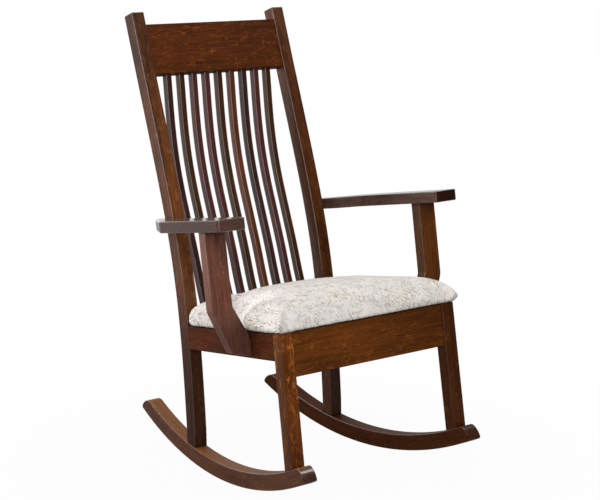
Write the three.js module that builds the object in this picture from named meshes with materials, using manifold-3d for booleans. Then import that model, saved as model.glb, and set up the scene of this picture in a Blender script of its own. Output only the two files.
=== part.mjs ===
// Rocking chair: two curved runners, a seat frame that leans back, nine curved back slats,
// flat arms on sawn supports and an upholstered drop-in seat. Millimetres, Z up, sitter faces -Y.
//
// Two spaces are used. Floor space has its origin on the floor under the rocking centre.
// Seat space is tilted back with the frame: X across, Y back along the seat rails, Z square to
// them, with its origin where the fronts of the front legs meet the top of the rails.
import * as THREE from 'three';
import { mergeVertices } from 'three/addons/utils/BufferGeometryUtils.js';
import Module from 'manifold-3d';

const wasm = await Module();
wasm.setup();

// Stance
const frameTilt = THREE.MathUtils.degToRad(9.35);
const toeInShare = 0.072; // sideways step of a side frame for each millimetre to the rear
const frameHalfWidth = 244; // outer face of a side frame, level with the floor contact
const fit = 0.3; // clearance of every joint
const overrun = 20; // how far a cutter runs past the piece it cuts
const edgeEase = 1.5; // softened arris on the boards
const weld = 0.0001;

// Runners
const rockRadius = 857.6;
const runnerDepth = 39.7;
const runnerWidth = 39;
const runnerFrontReach = 397;
const runnerRearReach = 367;
const soleFlat = 40; // flat length of the sole that touches the floor
const frontNoseLength = 17; // length over which the top of the runner rolls down to its end
const rearNoseLength = 34;
const noseRadius = 5;
const footTenonLength = 24;
const footTenonThickness = 12;
const footTenonShoulder = 5;

// Front legs
const seatFrontReach = 296.5;
const seatFrontHeight = 420.4;
const legWidth = 38;
const legDepth = 30.5;

// Seat rails
const frontRailHeight = 103;
const frontRailThickness = 22;
const frontRailSetback = 3;
const sideRailThickness = 22;
const sideRailFrontHeight = 63.2;
const sideRailRearHeight = 57.2;
const rearRailHeight = 58;
const rearRailThickness = 28;
const railTenonLength = 15;
const railTenonThickness = 9;
const railTenonInset = 7; // from the outer face of the rail to the tenon cheek
const railTenonShoulder = 11; // from the edges of the rail to the edges of the tenon

// Back posts
const postOuterHalf = 234.2;
const postThickness = 35;
const postWidth = 37.5;
const postHeight = 1102.3;
const postFootReach = 110.5;
const postSetback = 258.7; // how far the top of the post lies behind its foot
// centre line: share of the post's height, share of its setback
const postLineShares = [
  [0.018, -0.003],
  [0.0363, 0],
  [0.0907, 0.0128],
  [0.1814, 0.0452],
  [0.2722, 0.0858],
  [0.3629, 0.1411],
  [0.4536, 0.2196],
  [0.5443, 0.3235],
  [0.635, 0.448],
  [0.7258, 0.5837],
  [0.8165, 0.7228],
  [0.9072, 0.8611],
  [1, 1],
];
const postSegments = 26;

// Crest rail
const crestHeight = 128.5;
const crestThickness = 31;
const crestRecline = THREE.MathUtils.degToRad(19);
// lower front edge: share of the post's height, share of its setback
const crestFootHeightShare = 0.8676;
const crestFootSetbackShare = 0.7383;
const crestTenonLength = 14;
const crestTenonThickness = 9;

// Back slats
const slatCount = 9;
const slatPitch = 38.6;
const slatWidth = 16.2;
const slatDepth = 19.2;
const slatFootSetback = 7; // behind the middle of the rear rail
const slatHeadSetback = 3; // behind the middle of the crest rail
const slatTenonLength = 12;
const slatTenonThickness = 7;
const slatTenonShoulder = 2;
// centre line from foot to head: share of the rise, share of the setback
const slatLineShares = [
  [-0.02, -0.0285],
  [0, 0],
  [0.1326, 0.1809],
  [0.2617, 0.3353],
  [0.4272, 0.5538],
  [0.5096, 0.6624],
  [0.5957, 0.7601],
  [0.6753, 0.8341],
  [0.768, 0.8977],
  [0.8571, 0.9416],
  [0.9393, 0.974],
  [1, 1],
  [1.02, 1.0123],
];
const slatSegments = 16;

// Arms
const armHeight = 241.5; // underside above the top of the rails
const armThickness = 27.8;
const armWidth = 74.6;
const armOverhang = 104.3; // outer edge from the side frame
const armFront = 56.5; // outer front corner, behind the leg fronts
const armOuterBend = 330.6;
const armInnerBend = 321.5;
const armTailInner = 403.2;
const armTailEnd = 472;
const armTailWidth = 29.5;
const armCornerRadius = 9;
const armBendRadius = 45;
const armEase = 2.5;

// Arm supports
const supportThickness = 28;
const supportFront = 123.6;
const supportInner = 40; // inner edge from the side rail, above the bend
const supportWidth = 54.5;
const supportOuterBendRise = 57.5;
const supportInnerBendRise = 65;
const supportHeelRise = -14;
const supportHeelDrop = 57;
const supportToeDrop = 41;
const supportToeWidth = 54;
const supportBendRadius = 25;
const supportTenonLength = 15;
const supportTenonThickness = 10;
const supportTenonShoulder = 8;

// Seat
const boardThickness = 12;
const boardInset = 6; // inside the outer faces of the side rails
const boardFront = 6;
const cushionCrown = 83;
const cushionSideOverhang = 15;
const cushionFrontOverhang = 18;
const cushionCornerRadius = 11;
const cushionNotchSetback = 2;
const cushionNotchClearance = 8;
const cushionPostClearance = 3;
const cushionPerimeterSteps = 72;
// from the lower edge to the crown: share of the way in to the middle, share of the crown
const cushionRingShares = [
  [0.05, 0],
  [0.014, 0.04],
  [0, 0.13],
  [0.01, 0.26],
  [0.034, 0.39],
  [0.08, 0.53],
  [0.15, 0.66],
  [0.25, 0.79],
  [0.41, 0.9],
  [0.65, 0.98],
];

// Corner blocks, screws and dowels
const blockLeg = 60;
const blockThickness = 24;
const blockDrop = 1;
const blockScrewInset = 20;
const screwShankRadius = 2.2;
const screwHeadRadius = 4.6;
const screwHeadHeight = 2.8;
const screwTip = 4;
const seatScrewBite = 9;
const supportScrewBite = 16;
const supportScrewRises = [-16, -42];
const dowelRadius = 3.5;
const dowelLength = 30;
const dowelPostDepth = 14;
const dowelSpacing = 14;
const dowelChamfer = 0.8;
const roundSegments = 12;

// Spaces

const seatToFloor = new THREE.Matrix4()
  .makeRotationX(-frameTilt)
  .setPosition(0, -seatFrontReach, seatFrontHeight);
const floorToSeat = seatToFloor.clone().invert();

// Steps a side frame out to its place and toes it in towards the rear.
const toeInFloor = new THREE.Matrix4().set(
  1, -toeInShare, 0, frameHalfWidth,
  0, 1, 0, 0,
  0, 0, 1, 0,
  0, 0, 0, 1,
);
const toeInSeat = floorToSeat.clone().multiply(toeInFloor).multiply(seatToFloor);
const toeAngle = Math.atan(toeInShare);

function sideFaceX(back, rise) {
  return new THREE.Vector3(0, back, rise).applyMatrix4(toeInSeat).x;
}

function seatPoint(y, z) {
  return new THREE.Vector3(0, y, z).applyMatrix4(floorToSeat);
}

// Solids

function toSolid(geometry) {
  const bare = geometry.clone();
  bare.deleteAttribute('normal');
  bare.deleteAttribute('uv');
  const merged = mergeVertices(bare, weld);
  const index = merged.index.array;
  const kept = [];
  for (let i = 0; i < index.length; i += 3) {
    const [a, b, c] = [index[i], index[i + 1], index[i + 2]];
    if (a !== b && b !== c && c !== a) kept.push(a, b, c);
  }
  return new wasm.Manifold(new wasm.Mesh({
    numProp: 3,
    vertProperties: merged.attributes.position.array,
    triVerts: new Uint32Array(kept),
  }));
}

function toGeometry(solid) {
  const mesh = solid.getMesh();
  const geometry = new THREE.BufferGeometry();
  geometry.setAttribute('position', new THREE.BufferAttribute(new Float32Array(mesh.vertProperties), 3));
  geometry.setIndex(new THREE.BufferAttribute(new Uint32Array(mesh.triVerts), 1));
  geometry.computeVertexNormals();
  return geometry;
}

function cut(body, ...tools) {
  return tools.reduce((left, tool) => left.subtract(toSolid(tool)), body);
}

function moved(geometry, matrix) {
  return geometry.clone().applyMatrix4(matrix);
}

const planes = {
  plan: new THREE.Matrix4(),
  side: new THREE.Matrix4().makeBasis(
    new THREE.Vector3(0, 1, 0),
    new THREE.Vector3(0, 0, 1),
    new THREE.Vector3(1, 0, 0),
  ),
  front: new THREE.Matrix4().makeBasis(
    new THREE.Vector3(1, 0, 0),
    new THREE.Vector3(0, 0, 1),
    new THREE.Vector3(0, -1, 0),
  ),
};

// A board: an outline in one of the three planes, given its thickness from `start` onwards.
function board(outline, plane, start, thickness, ease = 0) {
  const geometry = new THREE.ExtrudeGeometry(new THREE.Shape(outline), {
    depth: thickness - 2 * ease,
    bevelEnabled: ease > 0,
    bevelThickness: ease,
    bevelSize: ease,
    bevelOffset: -ease,
    bevelSegments: 1,
  });
  geometry.translate(0, 0, start + ease);
  return geometry.applyMatrix4(planes[plane]);
}

function block(x0, x1, y0, y1, z0, z1) {
  const geometry = new THREE.BoxGeometry(x1 - x0, y1 - y0, z1 - z0);
  return geometry.translate((x0 + x1) / 2, (y0 + y1) / 2, (z0 + z1) / 2);
}

// A bar of chamfered section along X (axis 'x') or Z (axis 'z').
function easedBar(axis, a0, a1, b0, b1, from, to, ease) {
  const outline = [
    [a0 + ease, b0], [a1 - ease, b0], [a1, b0 + ease], [a1, b1 - ease],
    [a1 - ease, b1], [a0 + ease, b1], [a0, b1 - ease], [a0, b0 + ease],
  ].map(([a, b]) => new THREE.Vector2(a, b));
  return board(outline, axis === 'x' ? 'side' : 'plan', from, to - from);
}

// An outline with its corners rounded: each corner is [x, y, radius].
function roundedOutline(corners, steps) {
  const points = [];
  corners.forEach(([x, y, radius], i) => {
    const here = new THREE.Vector2(x, y);
    if (!radius) {
      points.push(here);
      return;
    }
    const before = corners[(i + corners.length - 1) % corners.length];
    const after = corners[(i + 1) % corners.length];
    const back = new THREE.Vector2(before[0], before[1]).sub(here).normalize();
    const on = new THREE.Vector2(after[0], after[1]).sub(here).normalize();
    const half = Math.acos(THREE.MathUtils.clamp(back.dot(on), -1, 1)) / 2;
    const reach = radius / Math.tan(half);
    const centre = back.clone().add(on).normalize().multiplyScalar(radius / Math.sin(half)).add(here);
    const start = back.multiplyScalar(reach).add(here).sub(centre);
    const end = on.multiplyScalar(reach).add(here).sub(centre);
    const sweep = Math.atan2(start.cross(end), start.dot(end));
    for (let k = 0; k <= steps; k += 1) {
      points.push(start.clone().rotateAround(new THREE.Vector2(), (sweep * k) / steps).add(centre));
    }
  });
  return points;
}

// The outline of a strip of even width that follows a curve.
function ribbon(curve, halfWidth, segments) {
  const near = [];
  const far = [];
  for (let i = 0; i <= segments; i += 1) {
    const point = curve.getPointAt(i / segments);
    const tangent = curve.getTangentAt(i / segments);
    const across = new THREE.Vector2(tangent.y, -tangent.x).multiplyScalar(halfWidth);
    near.push(point.clone().add(across));
    far.push(point.clone().sub(across));
  }
  return [...near, ...far.reverse()];
}

// Runners

const topRadius = rockRadius - runnerDepth;
const facetAngle = 2 * Math.atan(soleFlat / 2 / rockRadius);
const frontAngle = Math.asin(runnerFrontReach / rockRadius);
const rearAngle = Math.asin(runnerRearReach / rockRadius);

function onArc(angle, radius) {
  return new THREE.Vector2(radius * Math.sin(angle), rockRadius - radius * Math.cos(angle));
}

function arcPoints(fromAngle, toAngle, radius) {
  const points = [];
  for (let k = Math.ceil(fromAngle / facetAngle - 0.5); (k + 0.5) * facetAngle < toAngle; k += 1) {
    points.push(onArc((k + 0.5) * facetAngle, radius));
  }
  return points;
}

// One end of the runner, from the top of the board down to the sole.
function nosePoints(endAngle, side, noseLength) {
  const points = [];
  const place = (inward, height) => {
    points.push(onArc(side * (endAngle - inward / rockRadius), rockRadius - height));
  };
  const steps = 6;
  for (let k = 0; k <= steps; k += 1) {
    const turn = (Math.PI / 2) * (k / steps);
    place(noseLength * (1 - Math.sin(turn)), noseRadius + (runnerDepth - noseRadius) * Math.cos(turn));
  }
  for (let k = 1; k <= 2; k += 1) {
    const turn = (Math.PI / 2) * (k / 2);
    place(noseRadius * (1 - Math.cos(turn)), noseRadius * (1 - Math.sin(turn)));
  }
  return points;
}

const soleMargin = (2 * noseRadius) / rockRadius;
const runnerOutline = [
  ...arcPoints(-frontAngle + soleMargin, rearAngle - soleMargin, rockRadius / Math.cos(facetAngle / 2)),
  ...nosePoints(rearAngle, 1, rearNoseLength).reverse(),
  ...arcPoints(-frontAngle + frontNoseLength / rockRadius, rearAngle - rearNoseLength / rockRadius, topRadius)
    .reverse(),
  ...nosePoints(frontAngle, -1, frontNoseLength),
];
const runnerBlank = board(runnerOutline, 'side', -runnerWidth, runnerWidth, edgeEase);

// Everything under the top face of a runner, raised by the joint clearance.
const underRunnerOutline = [
  new THREE.Vector2(-runnerFrontReach - overrun, -overrun),
  new THREE.Vector2(runnerRearReach + overrun, -overrun),
  ...arcPoints(-frontAngle, rearAngle, topRadius - fit).reverse(),
];
const underRunner = board(underRunnerOutline, 'side', -legWidth - overrun, legWidth + 2 * overrun);

// Distance along a straight line to the circle of a given radius about the rocking centre.
function runToCircle(point, direction, radius) {
  const offset = point.clone().sub(new THREE.Vector2(0, rockRadius));
  const along = offset.dot(direction);
  return -along + Math.sqrt(along * along - offset.lengthSq() + radius * radius);
}

// Front legs

function legBlank(grow) {
  const down = new THREE.Vector2(-Math.sin(frameTilt), -Math.cos(frameTilt));
  const top = new THREE.Vector2(-seatFrontReach + (legDepth / 2) * Math.cos(frameTilt),
    seatFrontHeight - (legDepth / 2) * Math.sin(frameTilt));
  const length = runToCircle(top, down, topRadius + runnerDepth / 2);
  return easedBar('z', -legWidth - grow, grow, -grow, legDepth + grow, -length, grow, edgeEase);
}

function legTenon(grow) {
  const down = new THREE.Vector2(-Math.sin(frameTilt), -Math.cos(frameTilt));
  const top = new THREE.Vector2(-seatFrontReach + (legDepth / 2) * Math.cos(frameTilt),
    seatFrontHeight - (legDepth / 2) * Math.sin(frameTilt));
  const shoulder = runToCircle(top, down, topRadius);
  return block(
    -(legWidth + footTenonThickness) / 2 - grow,
    -(legWidth - footTenonThickness) / 2 + grow,
    footTenonShoulder - grow,
    legDepth - footTenonShoulder + grow,
    -shoulder - footTenonLength - grow,
    -shoulder + legDepth,
  );
}

const legCutter = moved(legBlank(fit), toeInSeat);

// Back posts

const postCurve = new THREE.SplineCurve(postLineShares.map(([up, back]) => (
  new THREE.Vector2(postFootReach + back * postSetback, up * postHeight)
)));

function postBlank(grow, inner = postOuterHalf - postThickness, outer = postOuterHalf) {
  const ease = grow ? 0 : edgeEase;
  return board(ribbon(postCurve, postWidth / 2 + grow, postSegments), 'side',
    inner - grow, outer - inner + 2 * grow, ease);
}

// Where the middle of the post crosses a given height above the seat rails.
function postAtRise(rise) {
  let low = 0;
  let high = 1;
  while (high - low > weld) {
    const middle = (low + high) / 2;
    const point = postCurve.getPointAt(middle);
    if (seatPoint(point.x, point.y).z < rise) low = middle;
    else high = middle;
  }
  const point = postCurve.getPointAt(low);
  return seatPoint(point.x, point.y).y;
}

const postFoot = postCurve.getPointAt(0);
const postShoulder = rockRadius - Math.sqrt(topRadius ** 2 - postFootReach ** 2);

function postTenon(grow) {
  const middle = postOuterHalf - postThickness / 2;
  return block(
    middle - footTenonThickness / 2 - grow,
    middle + footTenonThickness / 2 + grow,
    postFoot.x - postWidth / 2 + footTenonShoulder - grow,
    postFoot.x + postWidth / 2 - footTenonShoulder + grow,
    postShoulder - footTenonLength - grow,
    postShoulder + postWidth / 2,
  );
}

const postSeatBack = postAtRise(-rearRailHeight / 2);
const postSeatFront = postSeatBack - postWidth / 2;
const postInner = postOuterHalf - postThickness;

// Seat rails

const sideRailMiddle = -railTenonInset - railTenonThickness / 2;

function sideRailFrontTenon(grow) {
  return moved(block(
    sideRailMiddle - railTenonThickness / 2 - grow,
    sideRailMiddle + railTenonThickness / 2 + grow,
    legDepth - railTenonLength - grow,
    legDepth + railTenonLength,
    -sideRailFrontHeight + railTenonShoulder - grow,
    -railTenonShoulder + grow,
  ), toeInSeat);
}

function sideRailRearTenon(grow) {
  return moved(block(
    sideRailMiddle - railTenonThickness / 2 - grow,
    sideRailMiddle + railTenonThickness / 2 + grow,
    postSeatFront - railTenonLength,
    postSeatFront + railTenonLength + grow,
    -sideRailRearHeight + railTenonShoulder - grow,
    -railTenonShoulder + grow,
  ), toeInSeat);
}

const frontRailHalf = sideFaceX(legDepth / 2, -frontRailHeight / 2) - legWidth;
const frontRailMiddle = frontRailSetback + frontRailThickness / 2;

function frontRailTenon(grow) {
  return block(
    frontRailHalf - railTenonLength,
    frontRailHalf + railTenonLength + grow,
    frontRailMiddle - railTenonThickness / 2 - grow,
    frontRailMiddle + railTenonThickness / 2 + grow,
    -frontRailHeight + railTenonShoulder - grow,
    -railTenonShoulder + grow,
  );
}

const rearRailFront = postSeatBack - rearRailThickness / 2;

function rearRailTenon(grow) {
  return block(
    postInner - railTenonLength,
    postInner + railTenonLength + grow,
    postSeatBack - railTenonThickness / 2 - grow,
    postSeatBack + railTenonThickness / 2 + grow,
    -rearRailHeight + railTenonShoulder - grow,
    -railTenonShoulder + grow,
  );
}

const mirrorX = new THREE.Matrix4().makeScale(-1, 1, 1);

// The same piece on the other side of the chair, with its faces turned back outwards.
function mirrorImage(geometry) {
  const mirrored = moved(geometry, mirrorX);
  const image = mirrored.index ? mirrored.toNonIndexed() : mirrored;
  const position = image.getAttribute('position');
  for (let i = 0; i < position.count; i += 3) {
    const [x, y, z] = [position.getX(i), position.getY(i), position.getZ(i)];
    position.setXYZ(i, position.getX(i + 1), position.getY(i + 1), position.getZ(i + 1));
    position.setXYZ(i + 1, x, y, z);
  }
  return image;
}

function bothSides(geometry) {
  return toSolid(geometry).add(toSolid(mirrorImage(geometry)));
}

// Arm and support outlines

const armSkew = armWidth * toeInShare;
const armTailInnerX = postOuterHalf + fit;

function armOuterX(back) {
  return sideFaceX(back, armHeight) + armOverhang;
}

const armOutline = roundedOutline([
  [armOuterX(armFront) - armWidth, armFront - armSkew, armCornerRadius],
  [armOuterX(armFront), armFront, armCornerRadius],
  [armOuterX(armOuterBend), armOuterBend, armBendRadius],
  [armTailInnerX + armTailWidth, armTailEnd, armCornerRadius],
  [armTailInnerX, armTailEnd, armCornerRadius / 2],
  [armTailInnerX, armTailInner, armBendRadius],
  [armOuterX(armInnerBend) - armWidth, armInnerBend, armBendRadius],
], 4);

const supportPlace = new THREE.Matrix4()
  .makeRotationZ(toeAngle)
  .setPosition(sideFaceX(supportFront, 0), supportFront, 0);
const supportTop = armHeight - fit;
const supportOutline = roundedOutline([
  [fit, -supportHeelDrop, 0],
  [supportToeWidth, -supportToeDrop, 0],
  [supportInner + supportWidth, supportOuterBendRise, supportBendRadius],
  [supportInner + supportWidth, supportTop, 0],
  [supportInner, supportTop, 0],
  [supportInner, supportInnerBendRise, supportBendRadius],
  [fit, supportHeelRise, supportBendRadius],
], 4);

function supportTenon(grow) {
  return moved(block(
    supportInner + supportTenonShoulder - grow,
    supportInner + supportWidth - supportTenonShoulder + grow,
    (supportThickness - supportTenonThickness) / 2 - grow,
    (supportThickness + supportTenonThickness) / 2 + grow,
    supportTop - supportTenonLength,
    supportTop + supportTenonLength + grow,
  ), supportPlace);
}

// Fastenings

// Screw or dowel profiles are turned about Z, with the head's seat at zero.
function turned(profile) {
  const points = profile.map(([radius, height]) => new THREE.Vector2(radius, height));
  return new THREE.LatheGeometry(points, roundSegments).rotateX(Math.PI / 2);
}

function screw(length) {
  return turned([
    [0, -screwHeadHeight],
    [screwHeadRadius * 0.6, -screwHeadHeight],
    [screwHeadRadius, -screwHeadHeight * 0.4],
    [screwHeadRadius, 0],
    [screwShankRadius, 0],
    [screwShankRadius, length - screwTip],
    [0, length],
  ]);
}

function screwHole(length) {
  return turned([
    [0, -overrun],
    [screwShankRadius + fit, -overrun],
    [screwShankRadius + fit, length + fit],
    [0, length + fit],
  ]);
}

const dowel = turned([
  [0, 0],
  [dowelRadius - dowelChamfer, 0],
  [dowelRadius, dowelChamfer],
  [dowelRadius, dowelLength - dowelChamfer],
  [dowelRadius - dowelChamfer, dowelLength],
  [0, dowelLength],
]);
const dowelHole = turned([
  [0, -fit],
  [dowelRadius + fit, -fit],
  [dowelRadius + fit, dowelLength + fit],
  [0, dowelLength + fit],
]);

const outward = new THREE.Matrix4().makeRotationY(Math.PI / 2);
const dowelRise = armHeight + armThickness / 2;
const dowelBack = postAtRise(dowelRise);
const dowelBacks = [dowelBack - dowelSpacing, dowelBack];
const dowelPlaces = dowelBacks.map((back) => new THREE.Matrix4()
  .makeTranslation(postOuterHalf - dowelPostDepth, back, dowelRise)
  .multiply(outward));

const supportScrewLength = sideRailThickness + supportScrewBite;
const supportScrewPlaces = supportScrewRises.map((rise) => supportPlace.clone()
  .multiply(new THREE.Matrix4().makeTranslation(
    -sideRailThickness * Math.cos(toeAngle) - fit, supportThickness / 2, rise))
  .multiply(outward));

const blockTop = -blockDrop;
const blockBottom = blockTop - blockThickness;
const blockCorner = -sideRailThickness - fit;
const frontBlockFace = frontRailSetback + frontRailThickness + fit;
const rearBlockFace = rearRailFront - fit;
const seatScrewLength = blockThickness + blockDrop + fit + seatScrewBite;
const seatScrewBacks = [frontBlockFace + blockScrewInset, rearBlockFace - blockScrewInset];
const seatScrewPlaces = seatScrewBacks.map((back) => new THREE.Matrix4().makeTranslation(
  sideFaceX(back, blockBottom) + blockCorner - blockScrewInset, back, blockBottom - fit));

// Slats and crest rail

const crestPlace = new THREE.Matrix4()
  .makeRotationX(-crestRecline)
  .setPosition(0, postFootReach + crestFootSetbackShare * postSetback, crestFootHeightShare * postHeight);
const railTopMiddle = new THREE.Vector3(0, postSeatBack, 0).applyMatrix4(seatToFloor);
const slatFoot = new THREE.Vector3(0, postSeatBack + slatFootSetback, 0).applyMatrix4(seatToFloor);
const slatHead = new THREE.Vector3(0, crestThickness / 2 + slatHeadSetback, 0).applyMatrix4(crestPlace);
const slatCurve = new THREE.SplineCurve(slatLineShares.map(([up, back]) => new THREE.Vector2(
  THREE.MathUtils.lerp(slatFoot.y, slatHead.y, back),
  THREE.MathUtils.lerp(slatFoot.z, slatHead.z, up),
)));

function crestBar(grow) {
  const half = grow ? postInner : postInner - fit;
  return moved(easedBar('x', -grow, crestThickness + grow, -grow, crestHeight + grow,
    -half, half, grow ? 0 : edgeEase), crestPlace);
}

function rearRailBar(grow) {
  return easedBar('x', rearRailFront - grow, rearRailFront + rearRailThickness + grow,
    -rearRailHeight - grow, grow, -postInner - postThickness / 2, postInner + postThickness / 2,
    edgeEase);
}

function slatFootTenon(grow, x = 0) {
  return block(
    x - slatWidth / 2 + slatTenonShoulder - grow,
    x + slatWidth / 2 - slatTenonShoulder + grow,
    postSeatBack + slatFootSetback - slatTenonThickness / 2 - grow,
    postSeatBack + slatFootSetback + slatTenonThickness / 2 + grow,
    -slatTenonLength - grow,
    slatDepth / 2,
  );
}

function slatHeadTenon(grow, x = 0) {
  return block(
    x - slatWidth / 2 + slatTenonShoulder - grow,
    x + slatWidth / 2 - slatTenonShoulder + grow,
    crestThickness / 2 + slatHeadSetback - slatTenonThickness / 2 - grow,
    crestThickness / 2 + slatHeadSetback + slatTenonThickness / 2 + grow,
    -slatDepth / 2,
    slatTenonLength + grow,
  );
}

function crestTenon(grow) {
  return moved(block(
    postInner - crestTenonLength,
    postInner + crestTenonLength + grow,
    (crestThickness - crestTenonThickness) / 2 - grow,
    (crestThickness + crestTenonThickness) / 2 + grow,
    railTenonShoulder - grow,
    crestHeight - railTenonShoulder + grow,
  ), crestPlace);
}

const slatPlaces = Array.from({ length: slatCount }, (_, i) => (i - (slatCount - 1) / 2) * slatPitch);

// The wooden pieces

const runner = cut(
  toSolid(moved(runnerBlank, toeInFloor)),
  moved(moved(legTenon(fit), toeInSeat), seatToFloor),
  postTenon(fit),
);

const leg = cut(
  cut(toSolid(moved(legBlank(0), toeInSeat)), moved(moved(underRunner, toeInFloor), floorToSeat))
    .add(toSolid(moved(legTenon(0), toeInSeat))),
  sideRailFrontTenon(fit),
  frontRailTenon(fit),
);

const post = cut(
  cut(toSolid(postBlank(0)), moved(underRunner, toeInFloor)).add(toSolid(postTenon(0))),
  moved(sideRailRearTenon(fit), seatToFloor),
  moved(rearRailTenon(fit), seatToFloor),
  crestTenon(fit),
  ...dowelPlaces.map((place) => moved(moved(dowelHole, place), seatToFloor)),
);

const sideRailOutline = [
  [legDepth / 2, 0],
  [legDepth / 2, -sideRailFrontHeight],
  [postSeatBack, -sideRailRearHeight],
  [postSeatBack, 0],
].map(([back, rise]) => new THREE.Vector2(back, rise));
const sideRail = cut(
  cut(
    toSolid(moved(board(sideRailOutline, 'side', -sideRailThickness, sideRailThickness, edgeEase), toeInSeat)),
    legCutter,
    moved(postBlank(fit, postInner - overrun, postOuterHalf + overrun), floorToSeat),
  )
    .add(toSolid(sideRailFrontTenon(0)))
    .add(toSolid(sideRailRearTenon(0))),
  ...supportScrewPlaces.map((place) => moved(screwHole(supportScrewLength), place)),
);

const frontRail = toSolid(easedBar('x', frontRailSetback, frontRailSetback + frontRailThickness,
  -frontRailHeight, 0, -frontRailHalf - legWidth / 2, frontRailHalf + legWidth / 2, edgeEase))
  .subtract(bothSides(legCutter))
  .add(bothSides(frontRailTenon(0)));

const rearRail = cut(
  toSolid(rearRailBar(0))
    .subtract(bothSides(moved(postBlank(fit), floorToSeat)))
    .add(bothSides(rearRailTenon(0))),
  ...slatPlaces.map((x) => slatFootTenon(fit, x)),
);

const crest = cut(
  toSolid(crestBar(0)).add(bothSides(crestTenon(0))),
  ...slatPlaces.map((x) => moved(slatHeadTenon(fit, x), crestPlace)),
);

const slat = cut(
  toSolid(board(ribbon(slatCurve, slatDepth / 2, slatSegments), 'side',
    -slatWidth / 2, slatWidth, edgeEase)),
  moved(rearRailBar(fit), seatToFloor),
  crestBar(fit),
)
  .add(toSolid(moved(slatFootTenon(0), seatToFloor)))
  .add(toSolid(moved(slatHeadTenon(0), crestPlace)));

const arm = cut(
  toSolid(board(armOutline, 'plan', armHeight, armThickness, armEase)),
  supportTenon(fit),
  ...dowelPlaces.map((place) => moved(dowelHole, place)),
);

const support = cut(
  toSolid(moved(board(supportOutline, 'front', -supportThickness, supportThickness, edgeEase), supportPlace))
    .add(toSolid(supportTenon(0))),
  moved(block(-sideRailThickness, fit, 0, postSeatBack, -frontRailHeight, fit), toeInSeat),
  ...supportScrewPlaces.map((place) => moved(screwHole(supportScrewLength), place)),
);

function cornerBlock(face, inward) {
  const outline = [
    [blockCorner, face],
    [blockCorner, face + inward * blockLeg],
    [blockCorner - blockLeg, face],
  ].map(([x, back]) => new THREE.Vector2(x, back));
  return moved(board(outline, 'plan', blockBottom, blockThickness, edgeEase), toeInSeat);
}

const seatScrewHoles = seatScrewPlaces.map((place) => moved(screwHole(seatScrewLength), place));
const frontBlock = cut(toSolid(cornerBlock(frontBlockFace, 1)), legCutter, seatScrewHoles[0]);
const rearBlock = cut(
  toSolid(cornerBlock(rearBlockFace, -1)),
  moved(postBlank(fit), floorToSeat),
  seatScrewHoles[1],
);

// Seat board and cushion

const seatRearEdge = postSeatBack + slatFootSetback - slatDepth / 2 - cushionPostClearance;
const notchFront = postSeatFront - cushionPostClearance;
const notchInner = postInner - cushionPostClearance;

function boardOutline(grow) {
  const right = [
    [sideFaceX(boardFront, 0) - boardInset + grow, boardFront - grow],
    [sideFaceX(notchFront, 0) - boardInset + grow, notchFront + grow],
    [notchInner + grow, notchFront + grow],
    [notchInner + grow, seatRearEdge + grow],
  ];
  const left = right.map(([x, back]) => [-x, back]).reverse();
  return [...right, ...left].map(([x, back]) => new THREE.Vector2(x, back));
}

const seatBoard = cut(
  toSolid(board(boardOutline(0), 'plan', fit, boardThickness)),
  ...seatScrewHoles,
  ...seatScrewHoles.map((hole) => mirrorImage(hole)),
);

const cushionEdge = roundedOutline([
  [sideFaceX(0, 0) + cushionSideOverhang, -cushionFrontOverhang, cushionCornerRadius],
  [sideFaceX(seatRearEdge, 0) + cushionSideOverhang, seatRearEdge, cushionCornerRadius],
  [-sideFaceX(seatRearEdge, 0) - cushionSideOverhang, seatRearEdge, cushionCornerRadius],
  [-sideFaceX(0, 0) - cushionSideOverhang, -cushionFrontOverhang, cushionCornerRadius],
], 4);

// A closed skin through rings of the cushion's outline that close in on the crown.
function cushionSkin() {
  const closed = new THREE.Path([...cushionEdge, cushionEdge[0]]);
  const edge = closed.getSpacedPoints(cushionPerimeterSteps).slice(0, cushionPerimeterSteps);
  const middle = new THREE.Vector2(0, (seatRearEdge - cushionFrontOverhang) / 2);
  const vertices = [];
  cushionRingShares.forEach(([inShare, upShare]) => {
    edge.forEach((point) => {
      const place = point.clone().lerp(middle, inShare);
      vertices.push(place.x, place.y, fit + upShare * (cushionCrown - fit));
    });
  });
  vertices.push(middle.x, middle.y, fit);
  vertices.push(middle.x, middle.y, cushionCrown);
  const steps = cushionPerimeterSteps;
  const rings = cushionRingShares.length;
  const bottom = rings * steps;
  const index = [];
  for (let i = 0; i < steps; i += 1) {
    const next = (i + 1) % steps;
    for (let ring = 0; ring < rings - 1; ring += 1) {
      const a = ring * steps;
      const b = a + steps;
      index.push(a + i, a + next, b + next, a + i, b + next, b + i);
    }
    index.push(bottom, next, i);
    index.push(bottom + 1, (rings - 1) * steps + i, (rings - 1) * steps + next);
  }
  const geometry = new THREE.BufferGeometry();
  geometry.setAttribute('position', new THREE.Float32BufferAttribute(vertices, 3));
  return geometry.setIndex(index);
}

const notchX = sideFaceX(supportFront + supportThickness / 2, 0) - cushionNotchSetback;
const supportNotch = block(
  notchX,
  notchX + legWidth + overrun,
  supportFront - cushionNotchClearance / 2,
  supportFront + supportThickness + cushionNotchClearance,
  -overrun,
  cushionCrown + overrun,
);
const postNotch = block(
  notchInner,
  postOuterHalf + 2 * overrun,
  notchFront,
  seatRearEdge + overrun,
  -overrun,
  cushionCrown + overrun,
);
const cushion = cut(
  toSolid(cushionSkin()).subtract(bothSides(supportNotch)).subtract(bothSides(postNotch)),
  board(boardOutline(fit), 'plan', -overrun, overrun + boardThickness + 2 * fit),
);

// The chair

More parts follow.
